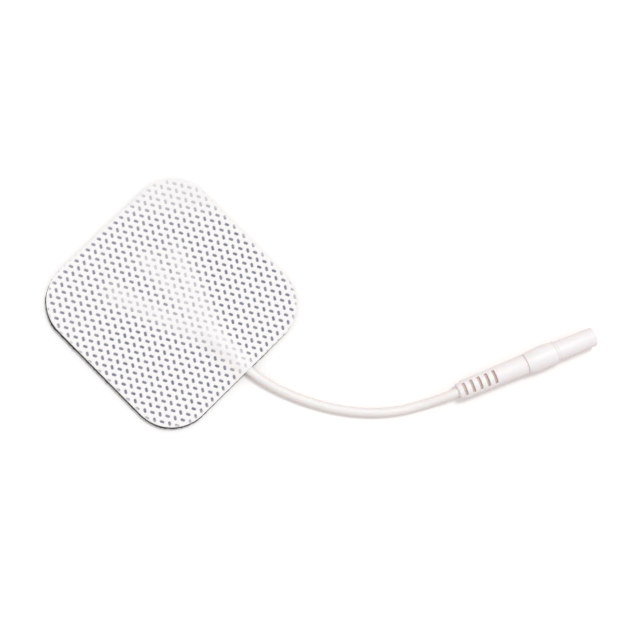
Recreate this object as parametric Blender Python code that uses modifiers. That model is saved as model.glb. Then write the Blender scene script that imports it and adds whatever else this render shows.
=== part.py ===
"""Self-adhesive nerve stimulation electrode: a laminated square pad with a short moulded lead.

The pad lies on its gel face, with the origin at the middle of that face and +Z up. From the skin
up it is a sheet of hydrogel, a carbon film and an embossed white fabric. The lead lies under the
fabric, leaves the pad's +X edge and ends in a moulded socket for a 2 mm pin.
"""
import math

import bmesh
import bpy
from mathutils import Matrix, Vector
from mathutils.geometry import delaunay_2d_cdt

# Pad outline and its layers, in metres
PAD_SIDE = 0.050
CORNER_RADIUS = 0.0108
GEL_THICKNESS = 0.0009
FILM_THICKNESS = 0.00015
FABRIC_THICKNESS = 0.0004
LAYER_SETBACK = 0.0002
BOND_LINE = 0.00005

# Emboss of the fabric: rows of short dashes, which lean one way and then the other
ROW_PITCH = 0.00164
DASH_PITCH = 0.001925
DASH_LENGTH = 0.00115
DASH_WIDTH = 0.0006
DASH_LEANS = (math.radians(24.0), math.radians(-32.0))
DASH_FLOOR = 0.00018
DASH_MARGIN = 0.0003
PATTERN_TURN = math.radians(1.0)
PATTERN_ORIGIN = Vector((-0.00087, 0.00028))

# Lead: a round jacket over a bundle of strands
JACKET_DIAMETER = 0.0023
CONDUCTOR_DIAMETER = 0.0009
CONDUCTOR_CLEARANCE = 0.0001
EXIT_Y = 0.00165
JACKET_IN_PAD = 0.010
JACKET_SKEW = math.radians(2.0)
LEAD_SINK = 0.00055
CUT_SETBACK = 0.0008
FACE_GAP = 0.0003

# Stripped strands, fanned out over the carbon film
STRAND_COUNT = 7
STRAND_DIAMETER = 0.00024
FAN_LENGTH = 0.027
FAN_HALF_WIDTH = 0.0085
FAN_FALL = 0.005
FAN_MARGIN = 0.0008
FAN_EDGE = 0.0040

# Tent of the fabric over the jacket
TENT_SPREAD = 0.0030
TENT_POWER = 2.0
TENT_RUN_OUT = 0.009
TENT_BARE_HEIGHT = 0.0012

# Free lead, from inside the pad's edge to the boot, point by point
LEAD_ROUTE = (
    (0.02450, 0.00164, 0.00175),
    (0.02700, 0.00195, 0.00174),
    (0.02955, 0.00248, 0.00164),
    (0.03205, 0.00315, 0.00148),
    (0.03449, 0.00398, 0.00132),
    (0.03687, 0.00493, 0.00121),
    (0.03921, 0.00596, 0.00117),
    (0.04373, 0.00836, 0.00117),
    (0.04800, 0.01115, 0.00117),
    (0.05200, 0.01435, 0.00117),
    (0.05565, 0.01800, 0.00117),
    (0.05885, 0.02210, 0.00120),
    (0.06140, 0.02655, 0.00150),
    (0.06325, 0.03020, 0.00215),
    (0.06452, 0.03290, 0.00275),
    (0.06528, 0.03470, 0.00297),
)
LEAD_POINT_STEP = 0.0042

# Connector, moulded on the end of the lead: lengths along it, and diameters
CONNECTOR_HEADING = math.radians(67.4)
BOOT_LENGTH = 0.0188
BOOT_END_DIAMETER = 0.0042
BOOT_RIB_DIAMETER = 0.0047
BOOT_BACK_DIAMETER = 0.0049
BOOT_FRONT_DIAMETER = 0.0052
BOOT_ROUNDING = 0.0006
RIB_ZONE = 0.0104
SLOT_COUNT = 5
SLOT_PITCH = 0.00205
SLOT_WIDTH = 0.0007
SLOT_SPAN = 0.0029
SLOT_WALL = 0.0003
FIRST_SLOT = 0.0017
SPIGOT_LENGTH = 0.0052
SPIGOT_DIAMETER = 0.0040
SLEEVE_CLEARANCE = 0.00005
GRIP_LENGTH = 0.0087
GRIP_DIAMETER = 0.0059
GRIP_BACK_DIAMETER = 0.0053
GRIP_FRONT_DIAMETER = 0.0056
NOSE_LENGTH = 0.0105
NOSE_BACK_DIAMETER = 0.0051
NOSE_TIP_DIAMETER = 0.0048
NOSE_ROUNDING = 0.0003
MOUTH_DIAMETER = 0.0034
MOUTH_DEPTH = 0.0016
FLOOR_GAP = 0.00002

# Contact inside the sleeve, for a 2 mm pin
PIN_BORE = 0.00205
PIN_BORE_DEPTH = 0.0120
CONTACT_WALL = 0.00042
COLLAR_DIAMETER = 0.0037
COLLAR_LENGTH = 0.0010
CRIMP_WALL = 0.00035
CRIMP_LENGTH = 0.0075
CRIMP_DEPTH = 0.0040
SPLIT_WIDTH = 0.0003
SPLIT_LENGTH = 0.0080

# Facets
CORNER_STEPS = 8
EDGE_STEP = 0.0015
ROUND_STEPS = 28
STRAND_STEPS = 9
MERGE = 0.00001

# Worked out from the sizes above
HALF_SIDE = PAD_SIDE / 2
JACKET_RADIUS = JACKET_DIAMETER / 2
GEL_TOP = GEL_THICKNESS
FILM_BASE = GEL_TOP + BOND_LINE
FILM_TOP = FILM_BASE + FILM_THICKNESS
FABRIC_BASE = FILM_TOP + BOND_LINE
LEAD_HEIGHT = FILM_TOP - LEAD_SINK + BOND_LINE + JACKET_RADIUS
TENT_HEIGHT = LEAD_HEIGHT + JACKET_RADIUS + BOND_LINE - FABRIC_BASE
FAN_LIFT = STRAND_DIAMETER + BOND_LINE
EXIT = Vector((HALF_SIDE, EXIT_Y))
INWARD = Vector((-math.cos(JACKET_SKEW), -math.sin(JACKET_SKEW)))
ACROSS = Vector((INWARD.y, -INWARD.x))
CONNECTOR_LENGTH = BOOT_LENGTH + GRIP_LENGTH + NOSE_LENGTH
CONDUCTOR_BORE = CONDUCTOR_DIAMETER + 2 * CONDUCTOR_CLEARANCE
BOOT_BORE = JACKET_DIAMETER + 2 * CONDUCTOR_CLEARANCE
SLEEVE_SOCKET = SPIGOT_DIAMETER + 2 * SLEEVE_CLEARANCE
CONTACT_DIAMETER = PIN_BORE + 2 * CONTACT_WALL
CONTACT_SEAT = CONTACT_DIAMETER + 2 * SLEEVE_CLEARANCE
CONTACT_FACE = CONNECTOR_LENGTH - MOUTH_DEPTH - SLEEVE_CLEARANCE
COLLAR_START = BOOT_LENGTH + SPIGOT_LENGTH + SLEEVE_CLEARANCE
CRIMP_START = COLLAR_START - CRIMP_LENGTH
CRIMP_DIAMETER = CONDUCTOR_BORE + 2 * CRIMP_WALL


def clear_scene():
    """Remove every object of the open scene."""
    for obj in list(bpy.data.objects):
        bpy.data.objects.remove(obj)


def new_collection(name):
    """Make a collection and link it to the scene."""
    collection = bpy.data.collections.new(name)
    bpy.context.scene.collection.children.link(collection)
    return collection


def new_material(name, color, roughness, metallic=0.0):
    """Make a plain Principled material."""
    material = bpy.data.materials.new(name)
    material.use_nodes = True
    shader = material.node_tree.nodes["Principled BSDF"]
    shader.inputs["Base Color"].default_value = (*color, 1.0)
    shader.inputs["Roughness"].default_value = roughness
    shader.inputs["Metallic"].default_value = metallic
    return material


def new_object(name, data, collection, material=None, parent=None):
    """Make a named object, with its material, in a collection."""
    obj = bpy.data.objects.new(name, data)
    collection.objects.link(obj)
    obj.parent = parent
    if material:
        data.materials.append(material)
    return obj


def smooth_step(value):
    """Ease from 0 to 1 while the value goes from 0 to 1."""
    value = min(max(value, 0.0), 1.0)
    return value * value * (3.0 - 2.0 * value)


# Layers of the pad

def pad_outline(setback):
    """Points round the pad's edge, moved in by a setback."""
    half = HALF_SIDE - setback
    radius = CORNER_RADIUS - setback
    straight = 2 * (half - radius)
    runs = max(1, round(straight / EDGE_STEP))
    points = []
    for side in range(4):
        turn = Matrix.Rotation(side * math.pi / 2, 2)
        for step in range(runs):
            points.append(turn @ Vector((half, (step / runs - 0.5) * straight)))
        for step in range(CORNER_STEPS):
            angle = step / CORNER_STEPS * math.pi / 2
            arc = Vector((math.cos(angle), math.sin(angle))) * radius
            points.append(turn @ (Vector((half - radius, half - radius)) + arc))
    return points


def inside_pad(point, margin):
    """Tell whether a point lies in the pad's outline by at least a margin."""
    reach_x = abs(point.x) - (HALF_SIDE - CORNER_RADIUS)
    reach_y = abs(point.y) - (HALF_SIDE - CORNER_RADIUS)
    if reach_x > 0 and reach_y > 0:
        return math.hypot(reach_x, reach_y) < CORNER_RADIUS - margin
    return max(reach_x, reach_y) < CORNER_RADIUS - margin


def lead_coordinates(point):
    """Distance in from the exit along the jacket's line, and distance off that line."""
    offset = point - EXIT
    return offset.dot(INWARD), offset.dot(ACROSS)


def on_lead_line(inward, across):
    """The place that lies so far in from the exit and so far off the jacket's line."""
    return EXIT + INWARD * inward + ACROSS * across


def tent_share(point):
    """Share of the tent's height: 1 along the jacket's crest, and 0 well away from it."""
    inward, across = lead_coordinates(point)
    bell = math.exp(-((abs(across) / TENT_SPREAD) ** TENT_POWER))
    return bell * (1.0 - smooth_step((inward - JACKET_IN_PAD) / TENT_RUN_OUT))


def fan_width(share):
    """Half the width of the fan of strands, at a share of its length."""
    return FAN_HALF_WIDTH * max(share, 0.0) ** 1.4


def fan_share(point):
    """Share of the lift that the fabric has over the fan of strands."""
    inward, across = lead_coordinates(point)
    past = inward - JACKET_IN_PAD
    room = fan_width(min(past / FAN_LENGTH, 1.0)) + FAN_MARGIN
    side = 1.0 - smooth_step((abs(across) - room) / FAN_EDGE)
    start = smooth_step((past + 2 * TENT_SPREAD) / TENT_SPREAD)
    end = 1.0 - smooth_step((past - FAN_LENGTH - FAN_MARGIN) / FAN_EDGE)
    return side * start * end


def gel_top(point):
    """Height of the gel's upper face, which the jacket presses in."""
    return GEL_TOP - LEAD_SINK * tent_share(point)


def film_base(point):
    """Height of the film's lower face."""
    return FILM_BASE - LEAD_SINK * tent_share(point)


def film_top(point):
    """Height of the film's upper face."""
    return FILM_TOP - LEAD_SINK * tent_share(point)


def fabric_base(point):
    """Height of the fabric's lower face, which stands over the jacket and the strands."""
    return FABRIC_BASE + max(TENT_HEIGHT * tent_share(point), FAN_LIFT * fan_share(point))


def fabric_top(point):
    """Height of the fabric's upper face between its dashes."""
    return fabric_base(point) + FABRIC_THICKNESS


def tent_points():
    """Points along the tent and the fan, where a sheet needs vertices to bend."""
    points = []
    stations = math.ceil((JACKET_IN_PAD + TENT_RUN_OUT) / EDGE_STEP)
    for station in range(1, stations + 1):
        for across in (-1.6, -1.1, -0.75, -0.45, -0.2, 0.0, 0.2, 0.45, 0.75, 1.1, 1.6):
            points.append(on_lead_line(station * EDGE_STEP, across * TENT_SPREAD))
    columns = math.ceil(FAN_LENGTH / (2 * EDGE_STEP)) + 1
    for column in range(columns + 1):
        inward = JACKET_IN_PAD + TENT_RUN_OUT + (column + 0.5) * 2 * EDGE_STEP
        for row in range(-5, 6):
            points.append(on_lead_line(inward, row * FAN_HALF_WIDTH / 4))
    return [point for point in points if inside_pad(point, LAYER_SETBACK + EDGE_STEP / 2)]


def dash_outlines():
    """The middle and the four corners of each embossed dash, row by row."""
    turn = Matrix.Rotation(PATTERN_TURN, 2)
    rows = math.ceil(HALF_SIDE * 1.1 / ROW_PITCH)
    columns = math.ceil(HALF_SIDE * 1.1 / DASH_PITCH)
    dashes = []
    for row in range(-rows, rows + 1):
        lean = Matrix.Rotation(DASH_LEANS[row % 2], 2)
        corners = [lean @ Vector(corner) for corner in (
            (DASH_LENGTH / 2, 0.0),
            (0.0, DASH_WIDTH / 2),
            (-DASH_LENGTH / 2, 0.0),
            (0.0, -DASH_WIDTH / 2),
        )]
        for column in range(-columns, columns + 1):
            place = Vector((row * ROW_PITCH, (column + row % 2 / 2) * DASH_PITCH))
            middle = PATTERN_ORIGIN + turn @ place
            if not inside_pad(middle, DASH_LENGTH / 2 + DASH_MARGIN):
                continue
            if TENT_HEIGHT * tent_share(middle) > TENT_BARE_HEIGHT:
                continue
            dashes.append((middle, [middle + corner for corner in corners]))
    return dashes


def triangulate(loops, points):
    """Triangles inside the first loop that keep every loop's edges and use every point."""
    places = []
    edges = []
    for loop in loops:
        first = len(places)
        places.extend(loop)
        edges.extend((first + i, first + (i + 1) % len(loop)) for i in range(len(loop)))
    places.extend(points)
    found = delaunay_2d_cdt(places, edges, [], 1, MERGE / 10)
    return found[0], found[2]


def sheet_mesh(name, setback, base, top, dashes, extra):
    """A closed sheet between two height rules, with a pit at each dash of its upper face."""
    outline = pad_outline(setback)
    bm = bmesh.new()
    reach = DASH_LENGTH * 0.6
    free = [point for point in extra
            if all((point - middle).length > reach for middle, _ in dashes)]
    upper_points, upper_faces = triangulate(
        [outline] + [corners for _, corners in dashes],
        [middle for middle, _ in dashes] + free,
    )
    pits = len(outline) + 4 * len(dashes)
    upper = []
    for index, point in enumerate(upper_points):
        height = top(point)
        if pits <= index < pits + len(dashes):
            height = base(point) + DASH_FLOOR
        upper.append(bm.verts.new((point.x, point.y, height)))
    lower_points, lower_faces = triangulate([outline], extra)
    lower = [bm.verts.new((point.x, point.y, base(point))) for point in lower_points]
    for face in upper_faces:
        bm.faces.new([upper[i] for i in face])
    for face in lower_faces:
        bm.faces.new([lower[i] for i in reversed(face)])
    for i in range(len(outline)):
        j = (i + 1) % len(outline)
        bm.faces.new((lower[i], lower[j], upper[j], upper[i]))
    mesh = bpy.data.meshes.new(name)
    bm.to_mesh(mesh)
    bm.free()
    return mesh


def build_hydrogel(parts):
    """The sticky gel that lies on the skin."""
    mesh = sheet_mesh("hydrogel", LAYER_SETBACK, lambda point: 0.0, gel_top, [], tent_points())
    material = new_material("clear_gel", (0.78, 0.80, 0.78), 0.15)
    new_object("hydrogel", mesh, parts, material)


def build_carbon_film(parts):
    """The black film that spreads the current over the gel."""
    mesh = sheet_mesh("carbon_film", LAYER_SETBACK, film_base, film_top, [], tent_points())
    material = new_material("carbon_black", (0.03, 0.03, 0.035), 0.5)
    new_object("carbon_film", mesh, parts, material)


def build_fabric_backing(parts):
    """The embossed white fabric that covers the film, the jacket and the strands."""
    mesh = sheet_mesh("fabric_backing", 0.0, fabric_base, fabric_top, dash_outlines(), tent_points())
    material = new_material("white_nonwoven", (0.90, 0.90, 0.90), 0.9)
    new_object("fabric_backing", mesh, parts, material)


# Turned shapes and wires

def turned(name, profile, collection, closed, material=None, parent=None, steps=ROUND_STEPS):
    """A shape of revolution about its own Z from (height, radius) pairs, outer side downwards."""
    mesh = bpy.data.meshes.new(name)
    points = [(radius, 0.0, height) for height, radius in profile]
    edges = [(i, i + 1) for i in range(len(points) - 1)]
    if closed:
        edges.append((len(points) - 1, 0))
    mesh.from_pydata(points, edges, [])
    obj = new_object(name, mesh, collection, material, parent)
    screw = obj.modifiers.new("turn", "SCREW")
    screw.steps = steps
    screw.render_steps = steps
    screw.use_merge_vertices = True
    screw.merge_threshold = MERGE
    screw.use_smooth_shade = False
    return obj


def tube_profile(start, end, outer, bore):
    """The profile of a plain tube between two heights."""
    return [(end, outer / 2), (start, outer / 2), (start, bore / 2), (end, bore / 2)]


def arc_profile(height, radius, rounding, first, last, steps=4):
    """Points on a quarter round of a turned edge, about (height, radius)."""
    points = []
    for step in range(steps + 1):
        angle = math.radians(first + (last - first) * step / steps)
        points.append((height + rounding * math.sin(angle), radius + rounding * math.cos(angle)))
    return points


def boxes(name, places, size, collection, parent):
    """A cutter made of equal boxes, about the given middles."""
    bm = bmesh.new()
    for place in places:
        matrix = Matrix.Translation(place) @ Matrix.Diagonal((*size, 1.0))
        bmesh.ops.create_cube(bm, size=1.0, matrix=matrix)
    mesh = bpy.data.meshes.new(name)
    bm.to_mesh(mesh)
    bm.free()
    cutter = new_object(name, mesh, collection, parent=parent)
    cutter.hide_render = True
    cutter.display_type = "WIRE"
    return cutter


def boolean(obj, other, operation):
    """Add an exact Boolean to an object."""
    modifier = obj.modifiers.new(other.name, "BOOLEAN")
    modifier.operation = operation
    modifier.object = other


def wire(name, points, radius, collection, material=None, resolution=2):
    """A round wire along a list of points, as a capped poly curve."""
    curve = bpy.data.curves.new(name, "CURVE")
    curve.dimensions = "3D"
    curve.bevel_depth = radius
    curve.bevel_resolution = resolution
    curve.use_fill_caps = True
    spline = curve.splines.new("POLY")
    spline.points.add(len(points) - 1)
    for target, point in zip(spline.points, points):
        target.co = (*point, 1.0)
    return new_object(name, curve, collection, material)


def wire_solid(name, points, radius, collection):
    """A wire as a closed mesh, which a Boolean can use."""
    obj = wire(name + "_curve", points, radius, collection)
    bpy.context.view_layer.update()
    evaluated = obj.evaluated_get(bpy.context.evaluated_depsgraph_get())
    mesh = bpy.data.meshes.new_from_object(evaluated)
    bm = bmesh.new()
    bm.from_mesh(mesh)
    bmesh.ops.remove_doubles(bm, verts=bm.verts, dist=MERGE)
    bm.to_mesh(mesh)
    bm.free()
    solid = new_object(name, mesh, collection)
    solid.matrix_world = obj.matrix_world
    bpy.data.objects.remove(obj)
    return solid


def smooth_path(route, step):
    """Points a step apart on a smooth curve through a route's points."""
    points = [Vector(point) for point in route]
    padded = [2 * points[0] - points[1], *points, 2 * points[-1] - points[-2]]
    fine = []
    for a, b, c, d in zip(padded, padded[1:], padded[2:], padded[3:]):
        for share in (0.0, 0.25, 0.5, 0.75):
            fine.append(0.5 * (
                2 * b
                + (c - a) * share
                + (2 * a - 5 * b + 4 * c - d) * share ** 2
                + (3 * b - a - 3 * c + d) * share ** 3
            ))
    fine.append(points[-1])
    lengths = [0.0]
    for first, second in zip(fine, fine[1:]):
        lengths.append(lengths[-1] + (second - first).length)
    count = max(2, round(lengths[-1] / step))
    path = []
    for index in range(count + 1):
        target = lengths[-1] * index / count
        place = max(i for i in range(len(fine)) if lengths[i] <= target + MERGE / 10)
        place = min(place, len(fine) - 2)
        share = (target - lengths[place]) / (lengths[place + 1] - lengths[place])
        path.append(fine[place].lerp(fine[place + 1], share))
    return path


# Lead

def build_jacket_in_pad(parts):
    """The jacket's end, which lies between the film and the fabric."""
    profile = tube_profile(CUT_SETBACK, JACKET_IN_PAD, JACKET_DIAMETER, CONDUCTOR_BORE)
    material = new_material("white_jacket", (0.88, 0.86, 0.85), 0.35)
    obj = turned("jacket_in_pad", profile, parts, True, material, steps=16)
    heading = Vector((*INWARD, 0.0)).to_track_quat("Z", "X")
    obj.rotation_euler = heading.to_euler()
    obj.location = (EXIT.x, EXIT.y, LEAD_HEIGHT)


def strand_points(share):
    """One stripped strand's line, from inside the bundle to its place in the fan."""
    room = (CONDUCTOR_DIAMETER - STRAND_DIAMETER) / 2 * 0.8
    points = []
    for step in range(STRAND_STEPS + 1):
        along = step / STRAND_STEPS
        past = FAN_LENGTH * along
        across = share * max(room, fan_width(along))
        place = on_lead_line(JACKET_IN_PAD + past, across)
        lying = film_top(place) + BOND_LINE + STRAND_DIAMETER / 2
        fall = smooth_step(past / FAN_FALL)
        points.append((place.x, place.y, LEAD_HEIGHT + (lying - LEAD_HEIGHT) * fall))
    return points


def build_conductor_in_pad(parts, cutters):
    """The bundle of strands in the jacket's end, and its strands fanned out on the film."""
    ends = [(*on_lead_line(inward, 0.0), LEAD_HEIGHT)
            for inward in (CUT_SETBACK, JACKET_IN_PAD + STRAND_DIAMETER)]
    obj = wire_solid("conductor_in_pad", ends, CONDUCTOR_DIAMETER / 2, parts)
    obj.data.materials.append(new_material("steel_strand", (0.55, 0.55, 0.56), 0.35, 1.0))
    for index in range(STRAND_COUNT):
        share = 2 * index / (STRAND_COUNT - 1) - 1
        strand = wire_solid(f"strand_{index + 1}", strand_points(share), STRAND_DIAMETER / 2, cutters)
        strand.hide_render = True
        strand.display_type = "WIRE"
        boolean(obj, strand, "UNION")


def build_lead_cable(parts):
    """The free stretch of the lead, from the pad's edge to the boot."""
    material = new_material("white_cable", (0.88, 0.86, 0.85), 0.35)
    path = smooth_path(LEAD_ROUTE, LEAD_POINT_STEP)
    wire("lead_cable", path, JACKET_RADIUS, parts, material)


# Connector: every piece is turned about the connector's line, from the boot's end to the tip

def connector_frame(cutters):
    """An empty at the boot's end, with Z along the connector and X up."""
    along = Vector((math.cos(CONNECTOR_HEADING), math.sin(CONNECTOR_HEADING), 0.0))
    up = Vector((0.0, 0.0, 1.0))
    end = Vector(LEAD_ROUTE[-1])
    empty = bpy.data.objects.new("connector_frame", None)
    cutters.objects.link(empty)
    turn = Matrix((up, along.cross(up), along)).transposed().to_4x4()
    place = Vector((end.x, end.y, GRIP_DIAMETER / 2 + FLOOR_GAP)) + along * FACE_GAP
    empty.matrix_world = Matrix.Translation(place) @ turn
    return empty


def build_boot(parts, cutters, frame):
    """The moulded boot: a slotted strain relief, a plain back and a spigot for the sleeve."""
    end = BOOT_END_DIAMETER / 2 - BOOT_ROUNDING
    profile = [
        (BOOT_LENGTH + SPIGOT_LENGTH, SPIGOT_DIAMETER / 2),
        (BOOT_LENGTH, SPIGOT_DIAMETER / 2),
        (BOOT_LENGTH, BOOT_FRONT_DIAMETER / 2),
        (RIB_ZONE, BOOT_BACK_DIAMETER / 2),
        (FIRST_SLOT, BOOT_RIB_DIAMETER / 2),
        *arc_profile(BOOT_ROUNDING, end, BOOT_ROUNDING, 0, -90),
        (0.0, BOOT_BORE / 2),
        (BOOT_LENGTH + SPIGOT_LENGTH, BOOT_BORE / 2),
    ]
    material = new_material("white_soft_pvc", (0.90, 0.88, 0.88), 0.38)
    boot = turned("strain_relief_boot", profile, parts, True, material, frame)
    floor = BOOT_BORE / 2 + SLOT_WALL
    depth = BOOT_BACK_DIAMETER
    places = []
    for index in range(SLOT_COUNT):
        upper = FIRST_SLOT + index * SLOT_PITCH
        places.append((floor + depth / 2, 0.0, upper))
        if index < SLOT_COUNT - 1:
            places.append((-floor - depth / 2, 0.0, upper + SLOT_PITCH / 2))
    cutter = boxes("relief_slots", places, (depth, SLOT_SPAN, SLOT_WIDTH), cutters, frame)
    boolean(boot, cutter, "DIFFERENCE")


def build_sleeve(parts, frame):
    """The moulded sleeve: a barrel-shaped grip and the nose that shrouds the contact."""
    back = BOOT_LENGTH + SLEEVE_CLEARANCE
    shoulder = BOOT_LENGTH + GRIP_LENGTH
    socket_end = COLLAR_START + COLLAR_LENGTH + SLEEVE_CLEARANCE
    tip = NOSE_TIP_DIAMETER / 2 - NOSE_ROUNDING
    grip = []
    for step in range(9):
        share = 1 - step / 8
        ends = GRIP_BACK_DIAMETER + (GRIP_FRONT_DIAMETER - GRIP_BACK_DIAMETER) * share
        swell = (GRIP_DIAMETER - (GRIP_BACK_DIAMETER + GRIP_FRONT_DIAMETER) / 2) * 4 * share * (1 - share)
        grip.append((back + (shoulder - back) * share, (ends + swell) / 2))
    profile = [
        *arc_profile(CONNECTOR_LENGTH - NOSE_ROUNDING, tip, NOSE_ROUNDING, 90, 0, 3),
        (shoulder, NOSE_BACK_DIAMETER / 2),
        *grip,
        (back, SLEEVE_SOCKET / 2),
        (socket_end, SLEEVE_SOCKET / 2),
        (socket_end, CONTACT_SEAT / 2),
        (CONTACT_FACE, CONTACT_SEAT / 2),
        (CONTACT_FACE, MOUTH_DIAMETER / 2),
        (CONNECTOR_LENGTH, MOUTH_DIAMETER / 2),
    ]
    material = new_material("white_hard_pvc", (0.91, 0.90, 0.91), 0.32)
    turned("connector_sleeve", profile, parts, True, material, frame)


def build_contact(parts, cutters, frame):
    """The contact: a split tube for the pin, a collar and a crimp for the conductor."""
    profile = [
        (CONTACT_FACE - PIN_BORE_DEPTH, 0.0),
        (CONTACT_FACE - PIN_BORE_DEPTH, PIN_BORE / 2),
        (CONTACT_FACE, PIN_BORE / 2),
        (CONTACT_FACE, CONTACT_DIAMETER / 2),
        (COLLAR_START + COLLAR_LENGTH, CONTACT_DIAMETER / 2),
        (COLLAR_START + COLLAR_LENGTH, COLLAR_DIAMETER / 2),
        (COLLAR_START, COLLAR_DIAMETER / 2),
        (COLLAR_START, CRIMP_DIAMETER / 2),
        (CRIMP_START, CRIMP_DIAMETER / 2),
        (CRIMP_START, CONDUCTOR_BORE / 2),
        (CRIMP_START + CRIMP_DEPTH, CONDUCTOR_BORE / 2),
        (CRIMP_START + CRIMP_DEPTH, 0.0),
    ]
    material = new_material("plated_brass", (0.80, 0.76, 0.66), 0.25, 1.0)
    contact = turned("contact_socket", profile, parts, False, material, frame, 24)
    middle = CONTACT_FACE - SPLIT_LENGTH / 2 + SPLIT_WIDTH / 2
    size = (SPLIT_WIDTH, 2 * CONTACT_DIAMETER, SPLIT_LENGTH + SPLIT_WIDTH)
    cutter = boxes("contact_split", [(0.0, 0.0, middle)], size, cutters, frame)
    boolean(contact, cutter, "DIFFERENCE")


def build_lead_in_boot(parts, frame):
    """The jacket's other end in the boot, and the bare conductor that goes on into the crimp."""
    jacket_end = CRIMP_START - SLEEVE_CLEARANCE
    conductor_end = CRIMP_START + CRIMP_DEPTH - CONDUCTOR_CLEARANCE
    jacket = tube_profile(0.0, jacket_end, JACKET_DIAMETER, CONDUCTOR_BORE)
    material = new_material("white_jacket_end", (0.88, 0.86, 0.85), 0.35)
    turned("jacket_in_boot", jacket, parts, True, material, frame, 16)
    rod = [
        (conductor_end, 0.0),
        (conductor_end, CONDUCTOR_DIAMETER / 2),
        (0.0, CONDUCTOR_DIAMETER / 2),
        (0.0, 0.0),
    ]
    strand = new_material("tinned_copper", (0.72, 0.52, 0.38), 0.35, 1.0)
    turned("conductor_in_boot", rod, parts, False, strand, frame, 12)


def main():
    """Build the electrode from the skin up, and then its lead."""
    clear_scene()
    parts = new_collection("stimulation_electrode")
    cutters = new_collection("cutters")
    build_hydrogel(parts)
    build_carbon_film(parts)
    build_fabric_backing(parts)
    build_jacket_in_pad(parts)
    build_conductor_in_pad(parts, cutters)
    build_lead_cable(parts)
    frame = connector_frame(cutters)
    build_boot(parts, cutters, frame)
    build_sleeve(parts, frame)
    build_contact(parts, cutters, frame)
    build_lead_in_boot(parts, frame)


main()
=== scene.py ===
"""Looks of a self-adhesive stimulation electrode: an embossed white pad with a short moulded lead.

Sizes are in metres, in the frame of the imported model. The pad lies on its gel at height 0, its lead
leaves the +X edge, and the moulded connector lies on the same surface.
"""
import logging
import math
from collections.abc import Callable, Sequence
from dataclasses import dataclass, field
from enum import Enum
from functools import reduce
from typing import TypeAlias

import bmesh
import bpy
import numpy as np
from mathutils import Matrix, Vector, noise


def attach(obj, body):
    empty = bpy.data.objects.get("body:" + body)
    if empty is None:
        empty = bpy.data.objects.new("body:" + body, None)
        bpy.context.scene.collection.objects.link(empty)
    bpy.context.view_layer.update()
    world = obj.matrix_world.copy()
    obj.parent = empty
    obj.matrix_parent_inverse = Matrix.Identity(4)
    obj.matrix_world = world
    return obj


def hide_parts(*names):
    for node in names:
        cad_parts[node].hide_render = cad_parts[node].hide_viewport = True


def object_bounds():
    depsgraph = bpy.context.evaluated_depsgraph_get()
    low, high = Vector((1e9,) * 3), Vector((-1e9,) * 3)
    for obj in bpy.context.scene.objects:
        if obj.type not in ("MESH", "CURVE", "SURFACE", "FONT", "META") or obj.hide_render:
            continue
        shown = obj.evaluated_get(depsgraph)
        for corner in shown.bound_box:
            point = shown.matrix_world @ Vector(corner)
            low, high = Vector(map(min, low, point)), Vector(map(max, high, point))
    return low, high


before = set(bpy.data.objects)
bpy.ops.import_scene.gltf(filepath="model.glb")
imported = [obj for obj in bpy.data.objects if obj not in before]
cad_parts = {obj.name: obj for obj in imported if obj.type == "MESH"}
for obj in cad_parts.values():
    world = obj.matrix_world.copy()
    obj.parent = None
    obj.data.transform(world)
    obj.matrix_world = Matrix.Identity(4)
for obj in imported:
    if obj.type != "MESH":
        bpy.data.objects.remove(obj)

CAD_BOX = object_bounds()
BODY = "root"
MERGE = 1e-6
WHITE = (1.0, 1.0, 1.0, 1.0)
JACKET_DIAMETER = 0.0023
JACKET_BORE = 0.0011

log = logging.getLogger("electrode")

Point = tuple[float, float, float]
Colour = tuple[float, float, float]
Profile = list[tuple[float, float]]
Value: TypeAlias = "Field | float"


class Slot(Enum):
    """Material slots of the record."""

    FABRIC = "fabric"
    FILM = "carbon_film"
    GEL = "hydrogel"
    JACKET = "lead_jacket"
    BOOT = "boot_pvc"
    SLEEVE = "sleeve_pvc"
    CONTACT = "contact"
    CONDUCTOR = "conductor"


# Node trees, written as expressions


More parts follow.
